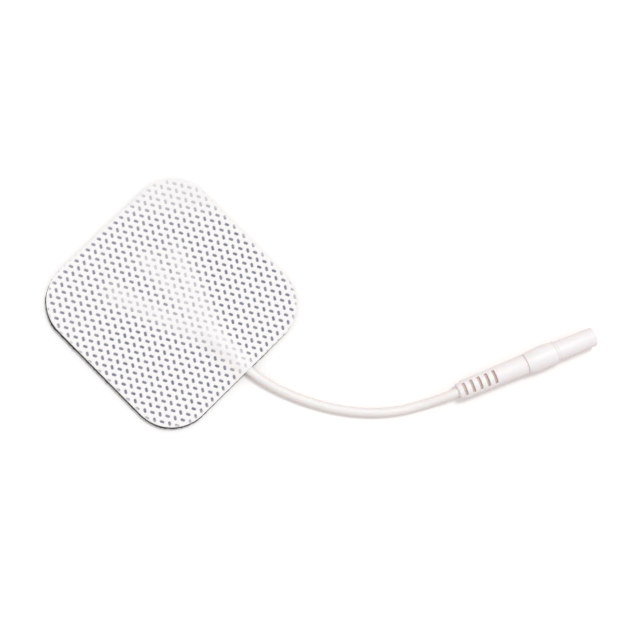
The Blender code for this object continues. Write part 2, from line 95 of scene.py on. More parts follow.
class Graph:
    """A shader or geometry node tree under construction."""

    def __init__(self, tree: bpy.types.NodeTree) -> None:
        """Start on a tree, whose nodes are removed."""
        self.tree = tree
        tree.nodes.clear()

    def node(self, kind: str, inputs: dict | None = None, **settings: object) -> bpy.types.Node:
        """Make one node of the tree.

        Args:
            kind: The node's type.
            inputs: Values or fields of its sockets, by name or index.
            settings: Properties, which are set first.

        Returns:
            The node.
        """
        made = self.tree.nodes.new(kind)
        for key, value in settings.items():
            setattr(made, key, value)
        for key, value in (inputs or {}).items():
            if isinstance(value, Field):
                self.tree.links.new(value.socket, made.inputs[key])
            else:
                made.inputs[key].default_value = value
        return made

    def field(self, kind: str, output: str | int, inputs: dict | None = None,
              **settings: object) -> "Field":
        """Make a node and return one of its outputs as a field."""
        return Field(self, self.node(kind, inputs, **settings).outputs[output])

    def split(self, vector: "Field") -> list["Field"]:
        """The three numbers of a vector field."""
        parts = self.node("ShaderNodeSeparateXYZ", {0: vector}).outputs
        return [Field(self, part) for part in parts]

    def joined(self, x: Value, y: Value, z: Value) -> "Field":
        """A vector field from three numbers."""
        return self.field("ShaderNodeCombineXYZ", 0, {0: x, 1: y, 2: z})

    def mixed(self, share: Value, first: "Field | Colour", second: "Field | Colour") -> "Field":
        """A colour between two colours.

        Args:
            share: 0 gives the first colour and 1 the second.
            first: The first colour.
            second: The second colour.

        Returns:
            The mixed colour.
        """
        ends = [end if isinstance(end, Field) else (*end, 1.0) for end in (first, second)]
        return self.field("ShaderNodeMix", 2, {0: share, 6: ends[0], 7: ends[1]}, data_type="RGBA")

    def cloud(self, place: "Field", scale: float, detail: float = 2.0,
              stretch: Point = (1.0, 1.0, 1.0), turn: float = 0.0) -> "Field":
        """A noise pattern.

        Args:
            place: Where it is read.
            scale: Features to a metre.
            detail: Octaves of finer features.
            stretch: Scale along each axis.
            turn: Angle about Z.

        Returns:
            Noise about 0.5.
        """
        mapped = self.field("ShaderNodeMapping", 0,
                            {"Vector": place, "Rotation": (0.0, 0.0, turn), "Scale": stretch})
        return self.field("ShaderNodeTexNoise", 0,
                          {"Vector": mapped, "Scale": scale, "Detail": detail})


def operator(operation: str, swapped: bool = False) -> Callable[..., "Field"]:
    """A method of a field that adds a Math node to it.

    Args:
        operation: The node's operation.
        swapped: Whether the field is its last operand, and not its first.

    Returns:
        The method, which takes the other operands.
    """
    def apply(self: "Field", *others: Value) -> "Field":
        """The field's value after the operation."""
        operands = (*others, self) if swapped else (self, *others)
        return self.graph.field("ShaderNodeMath", 0, dict(enumerate(operands)), operation=operation)

    return apply


class Field:
    """A node socket that takes part in expressions."""

    def __init__(self, graph: Graph, socket: bpy.types.NodeSocket) -> None:
        """Wrap one output socket of a graph."""
        self.graph = graph
        self.socket = socket

    __add__ = __radd__ = operator("ADD")
    __sub__, __rsub__ = operator("SUBTRACT"), operator("SUBTRACT", swapped=True)
    __mul__ = __rmul__ = operator("MULTIPLY")
    __truediv__, __rtruediv__ = operator("DIVIDE"), operator("DIVIDE", swapped=True)
    __pow__, __mod__ = operator("POWER"), operator("FLOORED_MODULO")
    __abs__, __round__ = operator("ABSOLUTE"), operator("ROUND")
    sine, cosine, root = operator("SINE"), operator("COSINE"), operator("SQRT")
    exponential, sign = operator("EXPONENT"), operator("SIGN")
    over, least, most = operator("GREATER_THAN"), operator("MINIMUM"), operator("MAXIMUM")

    def __neg__(self) -> "Field":
        """Opposite."""
        return self * -1.0

    def kept(self, low: Value, high: Value) -> "Field":
        """This value, held between two limits."""
        return self.most(low).least(high)

    def eased(self, start: float, end: float, low: float = 0.0, high: float = 1.0) -> "Field":
        """A smooth step, from low at start to high at end."""
        return self.graph.field("ShaderNodeMapRange", 0, {0: self, 1: start, 2: end, 3: low, 4: high},
                                interpolation_type="SMOOTHSTEP")

    def falling(self, start: float, end: float) -> "Field":
        """A smooth step, from 1 at start to 0 at end."""
        return self.eased(start, end, 1.0, 0.0)

    def bell(self, width: float, power: float = 2.0) -> "Field":
        """1 where this value is 0, and less the further it is from that."""
        return (-((self / width) ** power)).exponential()

    def spared(self, share: float) -> "Field":
        """1, less a share of this value."""
        return 1 - self * share


def hypotenuse(a: Field, b: Field) -> Field:
    """Length of the long side over two square sides."""
    return (a * a + b * b).root()


# Rules of the pad's surface, read by its meshes and by its finish


@dataclass(frozen=True)
class Outline:
    """The pad's outline: a square with round corners."""

    half_side: float = 0.025
    corner: float = 0.0108

    def inset(self, x: Field, y: Field) -> Field:
        """Distance in from the outline."""
        straight = self.half_side - self.corner
        return self.corner - hypotenuse((abs(x) - straight).most(0.0), (abs(y) - straight).most(0.0))


@dataclass(frozen=True)
class Emboss:
    """The fabric's pattern: rows of short pits, which lean one way and then the other."""

    row_pitch: float = 0.00164
    pit_pitch: float = 0.001925
    length: float = 0.00115
    width: float = 0.00065
    leans: tuple[float, float] = (math.radians(24.0), math.radians(-32.0))
    turn: float = math.radians(1.0)
    origin: tuple[float, float] = (-0.00087, 0.00028)

    def pits(self, x: Field, y: Field, soft: float) -> Field:
        """Share of a pit's depth at a place.

        Args:
            x: Place along X.
            y: Place along Y.
            soft: Width of a pit's edge.

        Returns:
            1 in the pits and 0 between them.
        """
        from_x, from_y = x - self.origin[0], y - self.origin[1]
        across_rows = from_x * math.cos(self.turn) + from_y * math.sin(self.turn)
        along_rows = from_y * math.cos(self.turn) - from_x * math.sin(self.turn)
        row = round(across_rows / self.row_pitch)
        odd = row % 2.0
        in_row = across_rows - row * self.row_pitch
        steps = along_rows / self.pit_pitch - odd * 0.5
        in_step = (steps - round(steps)) * self.pit_pitch
        even_lean, odd_lean = self.leans
        cosine = odd * (math.cos(odd_lean) - math.cos(even_lean)) + math.cos(even_lean)
        sine = odd * (math.sin(odd_lean) - math.sin(even_lean)) + math.sin(even_lean)
        along = abs(in_row * cosine + in_step * sine)
        across = in_step * cosine - in_row * sine
        past_end = (along - (self.length - self.width) / 2).most(0.0)
        return hypotenuse(past_end, across).falling((self.width - soft) / 2, (self.width + soft) / 2)


@dataclass(frozen=True)
class Ridge:
    """How the pad's layers bend round the end of the jacket, which lies between them."""

    exit: tuple[float, float] = (0.025, 0.00165)
    skew: float = math.radians(2.0)
    length: float = 0.010
    spread: float = 0.0030
    power: float = 2.0
    run_out: float = 0.009

    def inward(self, x: Field, y: Field) -> Field:
        """Distance in from the pad's edge, along the jacket."""
        return (self.exit[0] - x) * math.cos(self.skew) + (self.exit[1] - y) * math.sin(self.skew)

    def across(self, x: Field, y: Field) -> Field:
        """Distance off the jacket's line, towards +Y."""
        return (self.exit[0] - x) * math.sin(self.skew) + (y - self.exit[1]) * math.cos(self.skew)

    def share(self, x: Field, y: Field) -> Field:
        """1 along the jacket's crest, and 0 well away from it."""
        bell = abs(self.across(x, y)).bell(self.spread, self.power)
        return bell * self.inward(x, y).falling(self.length, self.length + self.run_out)

    def place(self, inward: Value, across: Value) -> tuple[Value, Value]:
        """The place that lies so far in from the edge and so far off the jacket's line."""
        return (self.exit[0] - inward * math.cos(self.skew) + across * math.sin(self.skew),
                self.exit[1] - inward * math.sin(self.skew) + across * math.cos(self.skew))


OUTLINE, RIDGE = Outline(), Ridge()


@dataclass(frozen=True)
class Fan:
    """The stripped strands, which spread over the film from the jacket's end."""

    length: float = 0.027
    half_width: float = 0.0085
    power: float = 1.4
    margin: float = 0.0008
    edge: float = 0.0040
    bunches: tuple[tuple[float, float], ...] = ((0.0225, 0.0082), (0.0265, 0.0026), (0.0265, -0.0092))
    bunch_width: float = 0.0025
    onset: tuple[float, float] = (-0.004, 0.006)

    def plateau(self, x: Field, y: Field) -> Field:
        """Share of the lift that the fabric has over the strands.

        Args:
            x: Place along X.
            y: Place along Y.

        Returns:
            1 well inside the fan, and 0 outside it.
        """
        past = RIDGE.inward(x, y) - RIDGE.length
        room = (past / self.length).kept(0.0, 1.0) ** self.power * self.half_width + self.margin
        outside = abs(RIDGE.across(x, y)) - room
        start = past.eased(-2 * RIDGE.spread, -RIDGE.spread)
        end = past.falling(self.length + self.margin, self.length + self.margin + self.edge)
        return outside.falling(0.0, self.edge) * start * end

    def streaks(self, x: Field, y: Field) -> Field:
        """Where the strands lie bunched under the fabric.

        Args:
            x: Place along X.
            y: Place along Y.

        Returns:
            1 over the bunches, and 0 between them.
        """
        past, across = RIDGE.inward(x, y) - RIDGE.length, RIDGE.across(x, y)
        streaks = []
        for reach, aside in self.bunches:
            long = math.hypot(reach, aside)
            along = (past * (reach / long) + across * (aside / long)).kept(0.0, long)
            off = hypotenuse(past - along * (reach / long), across - along * (aside / long))
            streaks.append(off.bell(self.bunch_width))
        return reduce(Field.most, streaks) * past.eased(*self.onset)


@dataclass(frozen=True)
class LiftedCorner:
    """The corner where the fabric stands off the film, so that its pattern looks faint."""

    direction: tuple[float, float] = (-math.sqrt(0.5), math.sqrt(0.5))
    start: float = 0.0195
    end: float = 0.0275

    def share(self, x: Field, y: Field) -> Field:
        """1 at the corner, and 0 away from it."""
        return (x * self.direction[0] + y * self.direction[1]).eased(self.start, self.end)


EMBOSS, FAN, LIFTED_CORNER = Emboss(), Fan(), LiftedCorner()


# Finishes


@dataclass(frozen=True)
class Finish:
    """A Principled surface with a slightly uneven colour and gloss."""

    name: str
    colour: Colour
    roughness: float
    metallic: float = 0.0
    uneven: float = 0.02
    gloss_change: float = 0.06
    grain: float = 0.0
    grain_scale: float = 9000.0
    patch_scale: float = 260.0
    patch_edges: tuple[float, float] = (0.35, 0.65)
    gloss_scale: float = 700.0
    fixed: tuple[tuple[str, float], ...] = ()

    def colour_field(self, graph: Graph, place: Field) -> Field:
        """The colour over the surface.

        Args:
            graph: The material's nodes.
            place: Object coordinates.

        Returns:
            The base colour.
        """
        darker = tuple(part * (1 - self.uneven) for part in self.colour)
        patches = graph.cloud(place, self.patch_scale, 3.0).eased(*self.patch_edges)
        return graph.mixed(patches, self.colour, darker)

    def height_field(self, graph: Graph, place: Field) -> Field:
        """The fine relief of the surface, as a share of its grain."""
        return graph.cloud(place, self.grain_scale, 3.0)

    def material(self) -> bpy.types.Material:
        """Make the material, or find it where it is made already.

        Returns:
            The material, with its nodes.
        """
        made = bpy.data.materials.get(self.name)
        if made:
            return made
        made = bpy.data.materials.new(self.name)
        made.use_nodes = True
        graph = Graph(made.node_tree)
        place = graph.field("ShaderNodeTexCoord", "Object")
        gloss = graph.cloud(place, self.gloss_scale, 3.0) - 0.5
        inputs = {
            "Base Color": self.colour_field(graph, place),
            "Roughness": gloss * (2 * self.gloss_change) + self.roughness,
            "Metallic": self.metallic,
            **dict(self.fixed),
        }
        if self.grain:
            inputs["Normal"] = graph.field("ShaderNodeBump", 0, {
                "Strength": 1.0, "Distance": self.grain, "Height": self.height_field(graph, place)})
        shader = graph.node("ShaderNodeBsdfPrincipled", inputs)
        graph.node("ShaderNodeOutputMaterial", {0: Field(graph, shader.outputs[0])})
        return made


@dataclass(frozen=True)
class Nonwoven(Finish):
    """Pressed white fibres. In the pits they turn clear, and the black film shows through."""

    pit_colour: Colour = (0.175, 0.183, 0.245)
    # Painted light: a warmer, lighter colour on the ridge's shaded flank.
    painted_flank_colour: Colour = (0.99, 0.964, 0.952)
    pit_soft: float = 0.00024
    upper_face: tuple[float, float] = (0.9, 1.0)
    crest: tuple[float, float] = (0.25, 0.85)
    ridge_fade: float = 0.63
    streak_fade: float = 0.57
    corner_fade: float = 0.50
    press_scale: float = 900.0
    press_range: tuple[float, float, float, float] = (0.2, 0.8, 0.82, 1.0)
    edge_fade: float = 0.60
    edge_zone: tuple[float, float] = (0.0001, 0.0012)
    far_fade: float = 0.11
    far_zone: tuple[float, float] = (-0.024, 0.002)
    # The ridge's flank away from the lamp, where light is painted and the pits are a little lighter.
    shaded_fade: float = 0.08
    shaded_aside: float = -0.0024
    shaded_width: float = 0.0014
    shaded_end: tuple[float, float] = (0.006, 0.018)
    painted_flank_share: float = 0.85
    fibre_scale: float = 5200.0
    fibre_width: float = 0.12
    fibre_turns: tuple[float, float] = (math.radians(35.0), math.radians(25.0))
    fibre_shade: float = 0.95
    loose_fibres: float = 0.6

    def colour_field(self, graph: Graph, place: Field) -> Field:
        """White between the pits, and bluish grey in them except over the jacket, with painted light on the
        ridge's flank that faces away from the lamp.

        Args:
            graph: The material's nodes.
            place: Object coordinates.

        Returns:
            The base colour.
        """
        x, y, _ = graph.split(place)
        upper = graph.field("ShaderNodeAttribute", "Fac", attribute_name="level")
        corner = LIFTED_CORNER.share(x, y)
        shaded = ((RIDGE.across(x, y) - self.shaded_aside).bell(self.shaded_width)
                  * RIDGE.inward(x, y).falling(*self.shaded_end))
        clear = math.prod((
            RIDGE.share(x, y).eased(*self.crest).spared(self.ridge_fade),
            FAN.streaks(x, y).spared(self.streak_fade),
            corner.spared(self.corner_fade),
            graph.cloud(place, self.press_scale, 2.0).eased(*self.press_range),
            OUTLINE.inset(x, y).eased(*self.edge_zone, 1.0 - self.edge_fade, 1.0),
            x.eased(*self.far_zone, 1.0 - self.far_fade, 1.0),
            shaded.spared(self.shaded_fade),
        ))
        fibres = self.height_field(graph, place).eased(*self.patch_edges) * corner.spared(self.loose_fibres)
        light = graph.mixed(fibres, tuple(part * self.fibre_shade for part in self.colour), self.colour)
        # Painted light on the ridge's shaded flank.
        light = graph.mixed(shaded * self.painted_flank_share, light, self.painted_flank_colour)
        pits = EMBOSS.pits(x, y, self.pit_soft) * clear * upper.eased(*self.upper_face)
        return graph.mixed(pits, light, self.pit_colour)

    def height_field(self, graph: Graph, place: Field) -> Field:
        """Fibres that lie in two crossing directions.

        Args:
            graph: The material's nodes.
            place: Object coordinates.

        Returns:
            The height, from 0 to 1.
        """
        stretches = (1.0, self.fibre_width, 1.0), (self.fibre_width, 1.0, 1.0)
        first, second = (graph.cloud(place, self.fibre_scale, 4.0, stretch, turn)
                         for stretch, turn in zip(stretches, self.fibre_turns))
        return first.most(second)


@dataclass(frozen=True)
class Extruded(Finish):
    """Extruded or moulded plastic, with painted shade where the shape is deep."""

    # Colour of the painted shade in slots, grooves and seams.
    painted_shade_colour: Colour = (0.66, 0.555, 0.52)
    fixed: tuple[tuple[str, float], ...] = (("Subsurface Weight", 0.15), ("Subsurface Scale", 0.0005))

    def colour_field(self, graph: Graph, place: Field) -> Field:
        """The plastic's colour, darker and warmer with painted shade in its deep places.

        Args:
            graph: The material's nodes.
            place: Object coordinates.

        Returns:
            The base colour.
        """
        plain = super().colour_field(graph, place)
        # Painted shade: darker and warmer where the mesh's stored attribute marks deep places.
        painted_shade = graph.field("ShaderNodeAttribute", "Fac", attribute_name="painted_shade")
        return graph.mixed(painted_shade, plain, self.painted_shade_colour)


FABRIC = Nonwoven("white_nonwoven", (0.962, 0.948, 0.950), 0.88, grain=0.00002,
                  fixed=(("Sheen Weight", 0.06), ("Specular IOR Level", 0.2)))
CARBON = Finish("carbon_black_film", (0.028, 0.027, 0.030), 0.46, uneven=0.25, grain=0.000006)
GEL = Finish("clear_gel", (0.86, 0.87, 0.83), 0.14, uneven=0.08, gloss_change=0.05, grain=0.00005,
             grain_scale=900.0, fixed=(("Transmission Weight", 0.45), ("IOR", 1.40)))
JACKET = Extruded("white_lead_jacket", (0.905, 0.873, 0.863), 0.45, grain=0.000004)
SOFT_PVC = Extruded("white_soft_pvc", (0.930, 0.898, 0.905), 0.50, grain=0.000008)
HARD_PVC = Extruded("white_hard_pvc", (0.930, 0.900, 0.912), 0.44, grain=0.000004)
BRASS = Finish("plated_brass", (0.80, 0.75, 0.63), 0.24, 1.0, uneven=0.12, grain=0.000004)
STEEL = Finish("steel_strand", (0.56, 0.56, 0.57), 0.34, 1.0, uneven=0.15, grain=0.000003)
COPPER = Finish("tinned_copper", (0.70, 0.53, 0.40), 0.34, 1.0, uneven=0.15, grain=0.000003)


# Meshes


def new_piece(name: str, data: bpy.types.ID) -> bpy.types.Object:
    """Put a mesh, a light or a camera in the scene.

    Args:
        name: The object's name.
        data: What it shows.

    Returns:
        The object, at the origin.
    """
    piece = bpy.data.objects.new(name, data)
    bpy.context.scene.collection.objects.link(piece)
    return piece


def baked(bm: bmesh.types.BMesh, name: str) -> bpy.types.Mesh:
    """Make a mesh of what was built, and free the builder.

    Args:
        bm: What was built.
        name: The mesh's name.

    Returns:
        The mesh.
    """
    mesh = bpy.data.meshes.new(name)
    bm.to_mesh(mesh)
    bm.free()
    return mesh


def basis(x_axis: Vector, z_axis: Vector) -> Matrix:
    """The turn that gives an object these two axes, which are square to each other."""
    return Matrix((x_axis, z_axis.cross(x_axis), z_axis)).transposed().to_4x4()


def dressed(piece: bpy.types.Object, finish: Finish, slot: Slot, *nodes: str) -> bpy.types.Object:
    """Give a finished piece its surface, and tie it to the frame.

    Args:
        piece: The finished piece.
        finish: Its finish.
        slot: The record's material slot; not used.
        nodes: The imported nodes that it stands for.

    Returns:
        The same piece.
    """
    piece.data.materials.clear()
    piece.data.materials.append(finish.material())
    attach(piece, BODY)
    if nodes:
        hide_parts(*nodes)
    log.info("%s: %d faces", piece.name, len(piece.data.polygons))
    return piece


def smooth(mesh: bpy.types.Mesh, angle: float = math.radians(38.0)) -> None:
    """Shade a mesh smooth, with sharp edges where it turns by more than an angle."""
    mesh.shade_smooth()
    mesh.set_sharp_from_angle(angle=angle)


def settled(piece: bpy.types.Object) -> None:
    """Replace a piece's mesh by its evaluated one, and remove its modifiers.

    Args:
        piece: The piece.
    """
    evaluated = piece.evaluated_get(bpy.context.evaluated_depsgraph_get())
    mesh = bpy.data.meshes.new_from_object(evaluated)
    piece.modifiers.clear()
    piece.data = mesh


def rounded(corners: Sequence[tuple[float, float, float]], steps: int = 6) -> Profile:
    """A closed outline with its corners rounded.

    Args:
        corners: Each corner's place, and the radius of its rounding.
        steps: Points on each rounding.

    Returns:
        The outline's points.
    """
    outline: Profile = []
    count = len(corners)
    for index, (a, b, radius) in enumerate(corners):
        corner = Vector((a, b))
        if radius <= 0:
            outline.append((a, b))
            continue
        back = (Vector(corners[index - 1][:2]) - corner).normalized()
        on = (Vector(corners[(index + 1) % count][:2]) - corner).normalized()
        half = back.angle(on) / 2
        reach = radius / math.tan(half)
        centre = corner + (back + on).normalized() * (radius / math.sin(half))
        first = corner + back * reach - centre
        last = corner + on * reach - centre
        turn = first.angle_signed(last)
        for step in range(steps + 1):
            spoke = Matrix.Rotation(-turn * step / steps, 2) @ first
            outline.append((centre.x + spoke.x, centre.y + spoke.y))
    return outline


def turned(name: str, outline: Profile, sides: int, closed: bool = True) -> bpy.types.Object:
    """A shape of revolution about Z.

    Args:
        name: The piece's name.
        outline: Height and radius of each point of the section.
        sides: Facets round the axis.
        closed: Whether the section is a ring, or an open line that starts and ends on the axis.

    Returns:
        The piece.
    """
    mesh = bpy.data.meshes.new(name)
    edges = [(i, i + 1) for i in range(len(outline) - 1)]
    if closed:
        edges.append((len(outline) - 1, 0))
    mesh.from_pydata([(radius, 0.0, height) for height, radius in outline], edges, [])
    piece = new_piece(name, mesh)
    screw = piece.modifiers.new("turn", "SCREW")
    screw.steps = sides
    screw.render_steps = sides
    screw.use_merge_vertices = True
    screw.merge_threshold = MERGE
    settled(piece)
    bm = bmesh.new()
    bm.from_mesh(piece.data)
    bmesh.ops.remove_doubles(bm, verts=bm.verts, dist=MERGE)
    bmesh.ops.recalc_face_normals(bm, faces=bm.faces)
    bm.to_mesh(piece.data)
    bm.free()
    return piece


def tube(name: str, path: Sequence[Vector], radius: Callable[[float], float], sides: int,
         bore: float = 0.0) -> bpy.types.Object:
    """A round tube or rod along a path, with a UV map: round it, and metres along it.

    Args:
        name: The piece's name.
        path: The points that it follows.
        radius: The outer radius at a length along the path.
        sides: Facets round the path.
        bore: The radius of its hole, or 0.

    Returns:
        The piece.
    """
    lengths = [0.0]
    for first, second in zip(path, path[1:]):
        lengths.append(lengths[-1] + (second - first).length)
    tangents = [(path[min(i + 1, len(path) - 1)] - path[max(i - 1, 0)]).normalized()
                for i in range(len(path))]
    side = tangents[0].cross(Vector((0.0, 0.0, 1.0))).normalized()
    bm = bmesh.new()
    rings = []
    for place, tangent, length in zip(path, tangents, lengths):
        side = (side - tangent * side.dot(tangent)).normalized()
        up = side.cross(tangent)
        spokes = [side * math.cos(2 * math.pi * k / sides) + up * math.sin(2 * math.pi * k / sides)
                  for k in range(sides)]
        rings.append([bm.verts.new(place + spoke * radius(length)) for spoke in spokes])
        if bore:
            rings[-1] += [bm.verts.new(place + spoke * bore) for spoke in spokes]
    uv = bm.loops.layers.uv.new("along")
    for row, (near, far) in enumerate(zip(rings, rings[1:])):
        for skin in range(2 if bore else 1):
            for k in range(sides):
                a, b = skin * sides + k, skin * sides + (k + 1) % sides
                face = bm.faces.new((near[a], near[b], far[b], far[a]))
                spots = ((k, row), (k + 1, row), (k + 1, row + 1), (k, row + 1))
                for loop, (turn, end) in zip(face.loops, spots):
                    loop[uv].uv = (turn / sides, lengths[end])
    for ring in (rings[0], rings[-1]):
        if bore:
            for k in range(sides):
                on = (k + 1) % sides
                bm.faces.new((ring[k], ring[on], ring[sides + on], ring[sides + k]))
        else:
            bm.faces.new(ring)
    bmesh.ops.recalc_face_normals(bm, faces=bm.faces)
    mesh = baked(bm, name)
    smooth(mesh)
    return new_piece(name, mesh)


class Recipe:
    """A Geometry Nodes tree with named inputs, which shapes one piece."""

    def __init__(self, name: str, sizes: dict[str, float]) -> None:
        """Start a tree.

        Args:
            name: The tree's name.
            sizes: Its inputs and their values.
        """
        self.tree = bpy.data.node_groups.new(name, "GeometryNodeTree")
        self.graph = Graph(self.tree)
        self.sizes = sizes
        face = self.tree.interface
        face.new_socket("Geometry", in_out="INPUT", socket_type="NodeSocketGeometry")
        for size in sizes:
            face.new_socket(size, in_out="INPUT", socket_type="NodeSocketFloat")
        face.new_socket("Material", in_out="INPUT", socket_type="NodeSocketMaterial")
        face.new_socket("Geometry", in_out="OUTPUT", socket_type="NodeSocketGeometry")
        self.source = self.graph.node("NodeGroupInput")

    def size(self, name: str) -> Field:
        """One of the tree's inputs, as a field."""
        return Field(self.graph, self.source.outputs[name])

    def finish(self, geometry: Field) -> None:
        """End the tree: realize what it made, and set its material.

        Args:
            geometry: What the tree made.
        """
        real = self.graph.field("GeometryNodeRealizeInstances", 0, {0: geometry})
        done = self.graph.field("GeometryNodeSetMaterial", 0,
                                {"Geometry": real, "Material": self.size("Material")})
        self.graph.node("NodeGroupOutput", {0: done})

    def shape(self, places: Field) -> None:
        """End the tree: move the points of its input, and shade it smooth.

        Args:
            places: The points' new places.
        """
        shaped = self.graph.field("GeometryNodeSetPosition", 0,
                                  {"Geometry": self.size("Geometry"), "Position": places})
        self.finish(self.graph.field("GeometryNodeSetShadeSmooth", 0, {0: shaped}))

    def apply(self, piece: bpy.types.Object, finish: Finish) -> None:
        """Run the tree on a piece and keep the plain mesh that it makes.

        Args:
            piece: The piece, whose mesh is the tree's input.
            finish: The finish whose material it sets.
        """
        modifier = piece.modifiers.new(self.tree.name, "NODES")
        modifier.node_group = self.tree
        values = {**self.sizes, "Material": finish.material()}
        for item in self.tree.interface.items_tree:
            if item.in_out == "INPUT" and item.name in values:
                modifier[item.identifier] = values[item.name]
        settled(piece)


# Pad


@dataclass(frozen=True)
class Plate:
    """A flat piece of the pad's outline, as a dense upper grid, a rim and a coarser lower grid."""

    setback: float
    cells: int
    rim: tuple[tuple[float, float], ...]
    ragged: float
    shift: tuple[float, float] = (0.0, 0.0)
    turn: float = 0.0
    coarse: int = 4
    lower_inset: float = 0.0004
    draw_in: float = 4.0
    waves: tuple[Point, Point] = ((700.0, 0.6, 3.1), (3100.0, 0.4, 7.7))

    def place(self, u: float, v: float, setback: float) -> Vector:
        """The place of a grid point, with the square's corners drawn in to round ones.

        Args:
            u: From -1 to 1 across the plate.
            v: From -1 to 1 along it.
            setback: Distance from the nominal outline to the grid's edge.

        Returns:
            The point in the plate's plane.
        """
        half = OUTLINE.half_side - setback
        inner = (OUTLINE.half_side - OUTLINE.corner) / half
        radius = 1.0 - inner
        reach = max(abs(u), abs(v), 1e-9)
        low, high = sorted((abs(u) / reach, abs(v) / reach))
        shrink = 1.0
        along = inner * (low + high)
        square = low * low + high * high
        under = along * along - square * (2 * inner * inner - radius * radius)
        if under > 0:
            ray = (along + math.sqrt(under)) / square
            if ray * low > inner:
                shrink = ray
        share = 1.0 + (shrink - 1.0) * reach ** self.draw_in
        return Vector((u, v)) * (half * share)

    def waver(self, point: Vector) -> float:
        """How far the cut edge strays from its line.

        Args:
            point: A place on the edge.

        Returns:
            The distance, outwards.
        """
        wave = 0.0
        for rate, share, seed in self.waves:
            wave += share * noise.noise(Vector((point.x * rate, point.y * rate, seed)))
        return self.ragged * wave

    def ring(self, cells: int) -> list[tuple[int, int]]:
        """Walk round the edge of a grid.

        Args:
            cells: Cells along each side of the grid.

        Returns:
            The grid places on the edge, in order.
        """
        run = range(cells)
        return [*((i, 0) for i in run), *((cells, i) for i in run),
                *((cells - i, cells) for i in run), *((0, cells - i) for i in run)]

    def build(self, name: str) -> bpy.types.Object:
        """Make the plate, with a level attribute: 1 on its upper face, and 0 on its lower one.

        Args:
            name: The piece's name.

        Returns:
            The piece, flat and without thickness until its recipe shapes it.
        """
        points: list[Point] = []
        faces: list[tuple[int, ...]] = []

        def grid(cells: int, setback: float, level: float) -> dict[tuple[int, int], int]:
            """Add a grid of points and faces.

            Args:
                cells: Cells along each side.
                setback: Distance from the nominal outline to the grid's edge.
                level: 1 for the upper face, and 0 for the lower one.

            Returns:
                The number of the point at each grid place.
            """
            spots = {}
            for i in range(cells + 1):
                for j in range(cells + 1):
                    spot = self.place(2 * i / cells - 1, 2 * j / cells - 1, setback)
                    spots[i, j] = len(points)
                    points.append((spot.x, spot.y, level))
            for i in range(cells):
                for j in range(cells):
                    loop = (spots[i, j], spots[i + 1, j], spots[i + 1, j + 1], spots[i, j + 1])
                    faces.append(loop if level > 0.5 else loop[::-1])
            return spots

        upper = grid(self.cells, self.setback - self.rim[0][1], 1.0)
        edge = self.ring(self.cells)
        previous = [upper[spot] for spot in edge]
        for level, outset in self.rim[1:]:
            current = []
            for i, j in edge:
                spot = self.place(2 * i / self.cells - 1, 2 * j / self.cells - 1, self.setback - outset)
                spot += spot.normalized() * self.waver(spot)
                current.append(len(points))
                points.append((spot.x, spot.y, level))
            self.band(previous, current, faces)
            previous = current
        small = self.cells // self.coarse
        lower = grid(small, self.setback + self.lower_inset, 0.0)
        inner = [lower[spot] for spot in self.ring(small)]
        for k in range(len(inner)):
            outer = [previous[(k * self.coarse + step) % len(previous)] for step in range(self.coarse + 1)]
            faces.append((*outer[::-1], inner[k], inner[(k + 1) % len(inner)]))
        mesh = bpy.data.meshes.new(name)
        laid = Matrix.Translation((*self.shift, 0.0)) @ Matrix.Rotation(self.turn, 4, "Z")
        mesh.from_pydata(points, [], faces)
        mesh.transform(laid)
        level_of = mesh.attributes.new("level", "FLOAT", "POINT")
        level_of.data.foreach_set("value", np.array([point[2] for point in points], np.float32))
        mesh.update()
        return new_piece(name, mesh)

    @staticmethod
    def band(above: list[int], below: list[int], faces: list[tuple[int, ...]]) -> None:
        """Join two rings of the rim by four-sided faces.

        Args:
            above: The upper ring's points.
            below: The lower ring's points.
            faces: The faces, to which these are added.
        """
        for k in range(len(above)):
            on = (k + 1) % len(above)
            faces.append((above[on], above[k], below[k], below[on]))


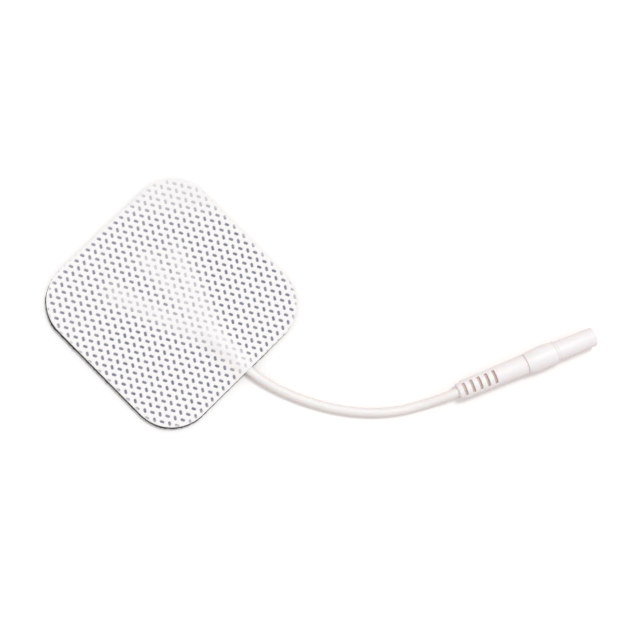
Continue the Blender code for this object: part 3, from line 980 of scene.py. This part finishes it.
@dataclass
class Pad:
    """The laminated pad: gel, film and fabric, with the jacket's end and its strands inside."""

    gel_thickness: float = 0.0009
    film_thickness: float = 0.00015
    fabric_thickness: float = 0.0004
    bond: float = 0.00005
    sink: float = 0.00055
    jacket_radius: float = JACKET_DIAMETER / 2
    bundle_radius: float = 0.00045
    cut_setback: float = 0.0008
    emboss_depth: float = 0.00021
    pit_soft: float = 0.00034
    top_level: float = 0.999
    crest: tuple[float, float] = (0.1, 0.8)
    crest_flat: float = 0.6
    corner_flat: float = 0.35
    fan_lift: float = 0.00018
    between_bunches: float = 0.75
    edge_droop: float = 0.00008
    droop_width: float = 0.0007
    strands: int = 28
    strand_radius: float = 0.000055
    strand_points: int = 34
    strand_sides: int = 8
    strand_turn: float = math.radians(137.508)
    strand_fall: float = 0.005
    bundle_end: float = 0.35
    wander: float = 0.0007
    wander_phase: float = 2.4
    wander_rate: float = 5.0

    @property
    def film_base(self) -> float:
        """Height of the film's lower face."""
        return self.gel_thickness + self.bond

    @property
    def film_top(self) -> float:
        """Height of the film's upper face."""
        return self.film_base + self.film_thickness

    @property
    def fabric_base(self) -> float:
        """Height of the fabric's lower face, away from the jacket."""
        return self.film_top + self.bond

    @property
    def jacket_height(self) -> float:
        """Height of the jacket's middle, between film and fabric."""
        return self.film_top - self.sink + self.bond + self.jacket_radius

    @property
    def tent_height(self) -> float:
        """How far the fabric stands up over the jacket."""
        return self.jacket_height + self.jacket_radius + self.bond - self.fabric_base

    def recipe(self, name: str, sizes: dict[str, float]) -> Recipe:
        """The rule that gives a flat plate its heights.

        Args:
            name: The recipe's name.
            sizes: Base, Thickness, Tent Below, Tent Above, Fan Lift, Emboss Depth and Edge Droop.

        Returns:
            The recipe.
        """
        made = Recipe(name, sizes)
        graph = made.graph
        x, y, level = graph.split(graph.field("GeometryNodeInputPosition", 0))
        ridge = RIDGE.share(x, y)
        tent_above, tent_below = made.size("Tent Above"), made.size("Tent Below")
        tent = (tent_below + (tent_above - tent_below) * level) * ridge
        bunched = self.between_bunches + FAN.streaks(x, y) * (1 - self.between_bunches)
        fan = FAN.plateau(x, y) * bunched * made.size("Fan Lift")
        top = level.over(self.top_level)
        flat = (ridge.eased(*self.crest).spared(self.crest_flat)
                * LIFTED_CORNER.share(x, y).spared(self.corner_flat))
        pits = EMBOSS.pits(x, y, self.pit_soft) * flat * top * made.size("Emboss Depth")
        droop = OUTLINE.inset(x, y).falling(0.0, self.droop_width) * level * made.size("Edge Droop")
        height = made.size("Base") + made.size("Thickness") * level + tent.most(fan) - pits - droop
        made.shape(graph.joined(x, y, height + tent.least(0.0)))
        return made

    def layer(self, name: str, node: str, finish: Finish, slot: Slot, plate: Plate, base: float,
              thickness: float, tents: tuple[float, float],
              relief: Point = (0.0, 0.0, 0.0)) -> bpy.types.Object:
        """Build one layer.

        Args:
            name: The piece's name.
            node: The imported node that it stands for.
            finish: Its finish.
            slot: Its material slot.
            plate: Its flat plate.
            base: Height of its lower face.
            thickness: Its thickness.
            tents: How far its lower and its upper face stand up over the jacket.
            relief: Fan Lift, Emboss Depth and Edge Droop.

        Returns:
            The piece.
        """
        sizes = dict(zip(("Base", "Thickness", "Tent Below", "Tent Above", "Fan Lift", "Emboss Depth",
                          "Edge Droop"), (base, thickness, *tents, *relief)))
        piece = plate.build(name)
        self.recipe(name + "_relief", sizes).apply(piece, finish)
        piece.data.set_sharp_from_angle(angle=math.radians(60.0))
        return dressed(piece, finish, slot, node)

    def build_fabric(self) -> None:
        """The embossed fabric, with a soft cut edge."""
        rim = ((1.0, -0.00006), (0.8, -0.00001), (0.5, 0.0), (0.2, -0.00001), (0.0, -0.00005))
        fabric = self.layer(
            "embossed_fabric", "fabric_backing", FABRIC, Slot.FABRIC,
            Plate(setback=0.00005, cells=264, rim=rim, ragged=0.00005),
            self.fabric_base, self.fabric_thickness, (self.tent_height, self.tent_height),
            (self.fan_lift, self.emboss_depth, self.edge_droop))

    def build_film(self) -> None:
        """The conductive film, cut a little crooked and pressed down by the jacket."""
        rim = ((1.0, -0.00002), (0.5, 0.0), (0.0, -0.00002))
        self.layer(
            "conductive_film", "carbon_film", CARBON, Slot.FILM,
            Plate(setback=0.00001, cells=120, rim=rim, ragged=0.00024, shift=(0.00008, -0.00032),
                  turn=math.radians(0.2)),
            self.film_base, self.film_thickness, (-self.sink, -self.sink))

    def build_gel(self) -> None:
        """The gel, with a wet rounded edge that bulges a little."""
        rim = ((1.0, -0.00020), (0.93, -0.00006), (0.72, 0.00001), (0.45, 0.00004), (0.2, 0.00001),
               (0.06, -0.00007), (0.0, -0.00020))
        self.layer(
            "gel_sheet", "hydrogel", GEL, Slot.GEL,
            Plate(setback=0.00010, cells=120, rim=rim, ragged=0.00014, shift=(0.00004, -0.00018)),
            0.0, self.gel_thickness, (0.0, -self.sink))

    def build_jacket_end(self) -> None:
        """The end of the jacket that lies in the pad."""
        ends = [Vector((*RIDGE.place(inward, 0.0), self.jacket_height))
                for inward in np.linspace(self.cut_setback, RIDGE.length, 12)]
        piece = tube("jacket_tail", ends, lambda length: self.jacket_radius, 32, JACKET_BORE / 2)
        dressed(piece, JACKET, Slot.JACKET, "jacket_in_pad")

    def build_strands(self) -> None:
        """The bundle in the jacket's end and its strands, which fan out on the film."""
        made = Recipe("strand_fan", {
            "Strand Count": float(self.strands), "Strand Radius": self.strand_radius,
            "Fan Length": FAN.length, "Fan Half Width": FAN.half_width})
        graph = made.graph
        line = graph.field("GeometryNodeCurvePrimitiveLine", 0)
        line = graph.field("GeometryNodeResampleCurve", 0, {"Curve": line, "Count": self.strand_points})
        copies = graph.node("GeometryNodeDuplicateElements", {"Geometry": line, "Amount": self.strands},
                            domain="SPLINE")
        number = Field(graph, copies.outputs[1])
        along = graph.field("GeometryNodeSplineParameter", "Factor")
        count = made.size("Strand Count")
        bundled = RIDGE.length - self.cut_setback
        past = along * (made.size("Fan Length") + bundled) - bundled
        open_share = (past / made.size("Fan Length")).kept(0.0, 1.0)
        spiral = ((number + 0.5) / count).root() * (self.bundle_radius - self.strand_radius)
        angle = number * self.strand_turn
        side = number / (count - 1.0) * 2.0 - 1.0
        wave = (number * self.wander_phase + open_share * self.wander_rate).sine()
        spread = side * open_share ** FAN.power * made.size("Fan Half Width")
        aside = (spread + wave * open_share * self.wander
                 + angle.cosine() * spiral * open_share.falling(0.0, self.bundle_end))
        x, y = RIDGE.place(past + RIDGE.length, aside)
        lying = self.film_top + self.bond + self.strand_radius - RIDGE.share(x, y) * self.sink
        fall = past.eased(0.0, self.strand_fall)
        standing = angle.sine() * spiral + self.jacket_height
        height = standing + (lying - standing) * fall
        line = graph.field("GeometryNodeSetPosition", 0, {
            "Geometry": Field(graph, copies.outputs[0]), "Position": graph.joined(x, y, height)})
        ring = graph.field("GeometryNodeCurvePrimitiveCircle", 0,
                           {"Resolution": self.strand_sides, "Radius": made.size("Strand Radius")})
        tubes = graph.field("GeometryNodeCurveToMesh", 0,
                            {"Curve": line, "Profile Curve": ring, "Fill Caps": True})
        made.finish(graph.field("GeometryNodeSetShadeSmooth", 0, {0: tubes}))
        piece = new_piece("strand_fan", bpy.data.meshes.new("strand_fan"))
        made.apply(piece, STEEL)
        dressed(piece, STEEL, Slot.CONDUCTOR, "conductor_in_pad")

    def build(self) -> None:
        """Build the pad from the skin up."""
        self.build_gel()
        self.build_film()
        self.build_strands()
        self.build_jacket_end()
        self.build_fabric()


# Lead


@dataclass
class Lead:
    """The free stretch of the lead, from inside the pad's edge to the boot."""

    route: tuple[Point, ...] = (
        (0.02450, 0.00164, 0.00175), (0.02700, 0.00195, 0.00174), (0.02955, 0.00248, 0.00164),
        (0.03205, 0.00315, 0.00148), (0.03449, 0.00398, 0.00132), (0.03687, 0.00493, 0.00121),
        (0.03921, 0.00596, 0.00117), (0.04373, 0.00836, 0.00117), (0.04800, 0.01115, 0.00117),
        (0.05200, 0.01435, 0.00117), (0.05565, 0.01800, 0.00117), (0.05885, 0.02210, 0.00120),
        (0.06140, 0.02655, 0.00150), (0.06325, 0.03020, 0.00215), (0.06452, 0.03290, 0.00275),
        (0.06528, 0.03470, 0.00297),
    )
    diameter: float = JACKET_DIAMETER
    joint: float = 0.0003
    boot_joint: float = 0.0006
    step: float = 0.0003
    ripple: float = 0.000012
    ripple_rate: float = 260.0
    ripple_seed: float = 1.7

    def path(self) -> list[Vector]:
        """Points close together on a smooth curve through the route.

        Returns:
            The points, from the pad to the boot, with both ends drawn out to meet their neighbours.
        """
        points = [Vector(point) for point in self.route]
        padded = [2 * points[0] - points[1], *points, 2 * points[-1] - points[-2]]
        found = []
        for a, b, c, d in zip(padded, padded[1:], padded[2:], padded[3:]):
            count = max(2, round((c - b).length / self.step))
            for index in range(count):
                share = index / count
                # Through b and c, in directions set by the points on either side of each.
                found.append(0.5 * (2 * b + (c - a) * share
                                    + (2 * a - 5 * b + 4 * c - d) * share ** 2
                                    + (3 * b - a - 3 * c + d) * share ** 3))
        found.append(points[-1])
        first = (found[0] - found[1]).normalized() * self.joint
        last = (found[-1] - found[-2]).normalized() * self.boot_joint
        return [found[0] + first, *found, found[-1] + last]

    def build(self) -> bpy.types.Object:
        """Build the lead's jacket.

        Returns:
            The piece.
        """
        def radius(length: float) -> float:
            """The jacket's radius at a length along the lead."""
            place = Vector((length * self.ripple_rate, self.ripple_seed, 0.0))
            return self.diameter / 2 + self.ripple * noise.noise(place)

        return dressed(tube("lead", self.path(), radius, 40), JACKET, Slot.JACKET, "lead_cable")


# Connector


@dataclass
class Connector:
    """The moulded socket on the lead's end, whose lengths run from the boot's end."""

    boot_end: Point = Lead.route[-1]
    heading: float = math.radians(67.4)
    face_gap: float = 0.0003
    boot_length: float = 0.0188
    boot_diameters: tuple[float, float, float, float] = (0.0042, 0.0047, 0.0049, 0.0052)
    boot_bore: float = 0.0025
    rib_zone: float = 0.0104
    slot_count: int = 5
    slot_pitch: float = 0.00205
    slot_width: float = 0.0007
    slot_span: float = 0.0032
    slot_floor: float = 0.00155
    slot_edge: float = 0.00016
    slot_wall: float = 0.0002
    floor_reach: float = 0.0022
    painted_shade_depths: tuple[float, float] = (0.0001, 0.0006)
    end_round: float = 0.0006
    bevel: float = 0.0001
    draft: float = 0.00001
    front_band: float = 0.0008
    seam_round: float = 0.00018
    seam_painted_shade: float = 0.25
    lip_length: float = 0.0006
    lip_gap: float = 0.00001
    first_slot: float = 0.0017
    spigot_length: float = 0.0052
    spigot_diameter: float = 0.0040
    clearance: float = 0.00005
    grip_length: float = 0.0087
    grip_diameters: tuple[float, float, float] = (0.0053, 0.0059, 0.0056)
    grip_lip: float = 0.0007
    lip_groove: float = 0.00008
    shoulder_round: float = 0.00012
    shoulder_painted_shade: float = 0.3
    nose_band: float = 0.0005
    nose_length: float = 0.0105
    nose_diameters: tuple[float, float] = (0.0051, 0.0048)
    mouth_diameter: float = 0.0034
    mouth_depth: float = 0.0016
    pin_bore: float = 0.00205
    pin_bore_depth: float = 0.0120
    contact_diameter: float = 0.00289
    collar_diameter: float = 0.0037
    collar_length: float = 0.0010
    crimp_diameter: float = 0.0018
    crimp_bore: float = 0.0011
    crimp_length: float = 0.0075
    crimp_depth: float = 0.0040
    split_width: float = 0.0003
    split_length: float = 0.0080
    sides: int = 128
    slope_rows: int = 250
    start_rows: int = 20
    barrel_rows: int = 40
    pieces: list[bpy.types.Object] = field(default_factory=list)

    @property
    def length(self) -> float:
        """The connector's whole length."""
        return self.boot_length + self.grip_length + self.nose_length

    @property
    def contact_face(self) -> float:
        """Where the contact's front face lies."""
        return self.length - self.mouth_depth - self.clearance

    @property
    def collar_start(self) -> float:
        """Where the contact's collar starts, in front of the spigot."""
        return self.boot_length + self.spigot_length + self.clearance

    def seat(self, piece: bpy.types.Object, finish: Finish, slot: Slot, node: str) -> None:
        """Put a piece made along Z into its place, and dress it.

        Args:
            piece: The piece, made with the boot's end at 0 and X up.
            finish: Its finish.
            slot: Its material slot.
            node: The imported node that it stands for.
        """
        along = Vector((math.cos(self.heading), math.sin(self.heading), 0.0))
        up = Vector((0.0, 0.0, 1.0))
        place = Vector(self.boot_end) + along * self.face_gap
        piece.data.transform(Matrix.Translation(place) @ basis(up, along))
        smooth(piece.data)
        self.pieces.append(dressed(piece, finish, slot, node))

    def relief(self) -> Recipe:
        """The rule that presses the strain relief's slots into the turned boot, and paints shade into them.

        Returns:
            The recipe.
        """
        made = Recipe("relief_slots", {
            "Slot Pitch": self.slot_pitch, "Slot Width": self.slot_width, "Slot Span": self.slot_span,
            "First Slot": self.first_slot, "Floor": self.slot_floor, "Floor Reach": self.floor_reach,
            "Edge": self.slot_edge})
        graph = made.graph
        x, y, along = graph.split(graph.field("GeometryNodeInputPosition", 0))
        under = (-x).over(0.0)  # The slots below lie half a pitch on, and are one fewer.
        pitch, edge = made.size("Slot Pitch"), made.size("Edge")
        steps = (along - made.size("First Slot")) / pitch - under * 0.5
        nearest = round(steps).kept(0.0, self.slot_count - 1.0 - under)
        off = abs(steps - nearest) * pitch - made.size("Slot Width") / 2
        aside = abs(y) - made.size("Slot Span") / 2
        share = (0.5 - off / edge).kept(0.0, 1.0).eased(0.0, 1.0)
        share = share * (0.5 - aside / (edge * 2.0)).kept(0.0, 1.0).eased(0.0, 1.0)
        bent = (1 - (y / made.size("Floor Reach")) ** 2.0).most(0.0).root()
        room = (abs(x) - made.size("Floor") * bent).most(0.0)
        outer = hypotenuse(x, y).over(self.boot_bore / 2 + self.slot_wall)
        depth = room * share * outer
        # Painted shade in the slots: their depth, stored as the attribute that darkens and warms the
        # plastic.
        marked = graph.field("GeometryNodeStoreNamedAttribute", 0, {
            "Geometry": made.size("Geometry"), "Name": "painted_shade", "Value": depth.eased(*self.painted_shade_depths)},
            data_type="FLOAT", domain="POINT")
        made.finish(graph.field("GeometryNodeSetPosition", 0, {
            "Geometry": marked, "Offset": graph.joined(-(x.sign() * depth), 0.0, 0.0)}))
        return made

    @staticmethod
    def shade_seams(piece: bpy.types.Object, *seams: tuple[float, float, float]) -> None:
        """Paint shade into the rings where the shape turns in, in the attribute that darkens and warms deep
        places.

        Args:
            piece: A piece made along Z.
            seams: Place along Z, width and strength of each ring.
        """
        mesh = piece.data
        heights = np.array([vertex.co.z for vertex in mesh.vertices])
        marks = mesh.attributes.get("painted_shade") or mesh.attributes.new("painted_shade", "FLOAT", "POINT")
        values = np.zeros(len(heights), np.float32)
        marks.data.foreach_get("value", values)
        for place, width, strength in seams:
            values = np.maximum(values, strength * np.exp(-((heights - place) / width) ** 2))
        marks.data.foreach_set("value", values.astype(np.float32))

    def build_boot(self) -> None:
        """The boot: a slotted strain relief with a round end, a plain back and a spigot."""
        end, rib, back, front = (diameter / 2 for diameter in self.boot_diameters)
        lip, bore = JACKET_DIAMETER / 2 + self.lip_gap, self.boot_bore / 2
        spigot, spigot_end = self.spigot_diameter / 2, self.boot_length + self.spigot_length
        slope = [(self.first_slot + (self.rib_zone - self.first_slot) * k / self.slope_rows,
                  rib + (back - rib) * k / self.slope_rows, 0.0) for k in range(1, self.slope_rows)]
        straight = self.end_round + self.bevel
        start = [(straight + (self.first_slot - straight) * k / self.start_rows,
                  end + (rib - end) * k / self.start_rows, 0.0) for k in range(self.start_rows + 1)]
        outline = rounded([
            (0.0, end, self.end_round), *start, *slope, (self.rib_zone, back, 0.0),
            (self.boot_length - self.front_band, front - 2 * self.draft, 0.0),
            (self.boot_length, front, self.seam_round), (self.boot_length, spigot, 0.0),
            (spigot_end, spigot, 0.0002), (spigot_end, bore, 0.0),
            (self.lip_length + self.bevel, bore, 0.0), (self.lip_length, lip, 0.0), (0.0, lip, 0.00005),
        ])
        boot = turned("strain_relief", outline, self.sides)
        self.relief().apply(boot, SOFT_PVC)
        # Painted shade in the groove between the boot and the sleeve.
        self.shade_seams(boot, (self.boot_length, self.seam_round, self.seam_painted_shade))
        self.seat(boot, SOFT_PVC, Slot.BOOT, "strain_relief_boot")

    def build_sleeve(self) -> None:
        """The sleeve: a barrel-shaped grip with a lip at its front, and the nose with its mouth."""
        back = self.boot_length + self.clearance
        shoulder = self.boot_length + self.grip_length
        rear, middle, front = (diameter / 2 for diameter in self.grip_diameters)
        socket = self.spigot_diameter / 2 + self.clearance
        socket_end = self.collar_start + self.collar_length + self.clearance
        seat = self.contact_diameter / 2 + self.clearance
        nose, tip = (diameter / 2 for diameter in self.nose_diameters)
        mouth = self.mouth_diameter / 2
        lip, groove = shoulder - self.grip_lip, self.lip_groove
        barrel = []
        for step in range(1, self.barrel_rows):
            share = step / self.barrel_rows
            swell = (middle - (rear + front) / 2) * 4 * share * (1 - share)
            barrel.append((back + (lip - back) * share, rear + (front - rear) * share + swell, 0.0))
        outline = rounded([
            (back, socket, 0.00005), (back, rear, 0.00022), *barrel,
            (lip, front + self.draft, 0.0), (lip + groove, front - groove / 2, 0.0),
            (lip + 2 * groove, front + self.draft, 0.0),
            (shoulder, front, 0.00016), (shoulder, nose, self.shoulder_round),
            (shoulder + self.nose_band, nose - self.draft, 0.0),
            (self.length, tip, 0.0004), (self.length, mouth, 0.00014),
            (self.contact_face, mouth, 0.0), (self.contact_face, seat, 0.0),
            (socket_end, seat, 0.0), (socket_end, socket, 0.0),
        ])
        sleeve = turned("sleeve", outline, self.sides)
        # Painted shade in the seam, in the lip's groove and at the nose's shoulder.
        self.shade_seams(sleeve, (back, self.seam_round, self.seam_painted_shade),
                         (lip + groove, groove, self.shoulder_painted_shade),
                         (shoulder + self.shoulder_round / 2, self.shoulder_round, self.shoulder_painted_shade))
        self.seat(sleeve, HARD_PVC, Slot.SLEEVE, "connector_sleeve")

    def build_contact(self) -> None:
        """The contact: a split tube for the pin, with a collar and a crimp behind it."""
        face, collar = self.contact_face, self.collar_start
        crimp = collar - self.crimp_length
        inner, outer = self.pin_bore / 2, self.contact_diameter / 2
        ring, barrel, hollow = self.collar_diameter / 2, self.crimp_diameter / 2, self.crimp_bore / 2
        bottom, front = face - self.pin_bore_depth, collar + self.collar_length
        outline = rounded([
            (bottom, 0.0, 0.0), (bottom, inner, 0.0), (face, inner, 0.00012), (face, outer, 0.00008),
            (front, outer, 0.0), (front, ring, 0.0001), (collar, ring, 0.0001), (collar, barrel, 0.0),
            (crimp, barrel, 0.0), (crimp, hollow, 0.0), (crimp + self.crimp_depth, hollow, 0.0),
            (crimp + self.crimp_depth, 0.0, 0.0),
        ], 4)
        contact = turned("socket_contact", outline, 64, closed=False)
        bm = bmesh.new()
        size = (self.split_width, 2 * self.contact_diameter, self.split_length + self.split_width)
        middle = face - self.split_length / 2 + self.split_width / 2
        laid = Matrix.Translation((0.0, 0.0, middle)) @ Matrix.Diagonal((*size, 1.0))
        bmesh.ops.create_cube(bm, matrix=laid)
        cutter = new_piece("split", baked(bm, "split"))
        cut = contact.modifiers.new("split", "BOOLEAN")
        cut.operation = "DIFFERENCE"
        cut.object = cutter
        settled(contact)
        bpy.data.objects.remove(cutter)
        self.seat(contact, BRASS, Slot.CONTACT, "contact_socket")

    def build_lead_end(self) -> None:
        """The jacket's end in the boot, and the bare conductor in the crimp."""
        end = self.collar_start - self.crimp_length - self.clearance
        path = [Vector((0.0, 0.0, end * k / 12)) for k in range(13)]
        jacket = tube("jacket_head", path, lambda length: JACKET_DIAMETER / 2, 32, JACKET_BORE / 2)
        self.seat(jacket, JACKET, Slot.JACKET, "jacket_in_boot")
        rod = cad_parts["conductor_in_boot"]
        rod.data.materials.clear()
        rod.data.materials.append(COPPER.material())
        self.pieces.append(rod)

    def build(self) -> None:
        """Build the connector from the lead to its mouth."""
        self.build_boot()
        self.build_sleeve()
        self.build_contact()
        self.build_lead_end()


# Studio


@dataclass
class Studio:
    """A plain white floor, soft light and a camera almost straight above."""

    camera_offset: Point = (-0.060, -0.055, 0.451)
    lens: float = 104.0
    near: float = 0.01
    key_from: float = math.radians(105.0)
    key_height: float = math.radians(72.0)
    key_width: float = math.radians(15.0)
    key_share: float = 0.34
    key_colour: Colour = (1.0, 0.995, 0.985)
    sky_horizon: float = 0.57
    sky_zenith: float = 0.73
    floor_side: float = 6.0
    floor_drop: float = 0.00002
    floor_seen: float = 0.95
    floor_bounce: Colour = (0.72, 0.555, 0.49)
    floor_glow: float = 0.09

    @staticmethod
    def seen(graph: Graph) -> Field:
        """Tell the rays that show the background from those that light the object.

        Args:
            graph: The material's or the world's nodes.

        Returns:
            1 for the rays that show it, and 0 for the others.
        """
        rays = graph.node("ShaderNodeLightPath")
        kinds = [Field(graph, rays.outputs[kind])
                 for kind in ("Is Camera Ray", "Is Glossy Ray", "Is Transmission Ray")]
        return kinds[0].most(kinds[1]).most(kinds[2])

    def build_camera(self) -> None:
        """A camera whose picture has +X to the lower right and +Y to the upper right."""
        low, high = CAD_BOX
        target = (low + high) / 2
        right = Vector((1.0, 1.0, 0.0)).normalized()
        ahead = Vector((-1.0, 1.0, 0.0)).normalized()
        place = target + right * self.camera_offset[0] + ahead * self.camera_offset[1]
        place.z += self.camera_offset[2]
        back = (place - target).normalized()
        side = ahead.cross(back).normalized()
        camera = new_piece("camera", bpy.data.cameras.new("camera"))
        camera.data.lens = self.lens
        camera.data.clip_start = self.near
        camera.matrix_world = Matrix.Translation(place) @ basis(side, back)
        bpy.context.scene.camera = camera

    def build_light(self) -> None:
        """A wide soft key from beyond the pad's +Y side, and a white sky that is brightest overhead."""
        lamp = bpy.data.lights.new("key", "SUN")
        lamp.angle = self.key_width
        lamp.energy = self.key_share * math.pi / math.sin(self.key_height)
        lamp.color = self.key_colour
        level = math.cos(self.key_height)
        direction = Vector((math.cos(self.key_from) * level, math.sin(self.key_from) * level,
                            math.sin(self.key_height)))
        key = new_piece("key", lamp)
        key.matrix_world = direction.to_track_quat("Z", "Y").to_matrix().to_4x4()
        world = bpy.data.worlds.new("sky")
        bpy.context.scene.world = world
        world.use_nodes = True
        graph = Graph(world.node_tree)
        height = graph.split(graph.field("ShaderNodeTexCoord", "Generated"))[2].kept(0.0, 1.0)
        light = height * (self.sky_zenith - self.sky_horizon) + self.sky_horizon
        seen = self.seen(graph)
        sky = graph.node("ShaderNodeBackground", {
            "Color": WHITE, "Strength": light + (1.0 - light) * seen})
        graph.node("ShaderNodeOutputWorld", {0: Field(graph, sky.outputs[0])})

    def build_floor(self) -> None:
        """A white floor that keeps the object's shadow."""
        bm = bmesh.new()
        bmesh.ops.create_grid(bm, x_segments=1, y_segments=1, size=self.floor_side / 2)
        bmesh.ops.translate(bm, verts=bm.verts, vec=(0.0, 0.0, -self.floor_drop))
        floor = new_piece("floor", baked(bm, "floor"))
        material = bpy.data.materials.new("white_floor")
        material.use_nodes = True
        graph = Graph(material.node_tree)
        seen = self.seen(graph)
        shader = graph.node("ShaderNodeBsdfPrincipled", {
            "Base Color": graph.mixed(seen, self.floor_bounce, (self.floor_seen,) * 3),
            "Roughness": 0.9, "Specular IOR Level": 0.0,
            "Emission Color": WHITE, "Emission Strength": seen * self.floor_glow})
        graph.node("ShaderNodeOutputMaterial", {0: Field(graph, shader.outputs[0])})
        floor.data.materials.append(material)

    def build(self) -> None:
        """Build the studio."""
        bpy.context.scene.view_settings.view_transform = "Standard"
        self.build_camera()
        self.build_light()
        self.build_floor()


def main() -> None:
    """Build the studio, the lead, the pad and the connector."""
    logging.basicConfig(level=logging.INFO, format="%(name)s: %(message)s")
    Studio().build()
    lead = Lead()
    cord = lead.build()
    Pad().build()
    connector = Connector()
    connector.build()


if __name__ == "__main__":
    main()
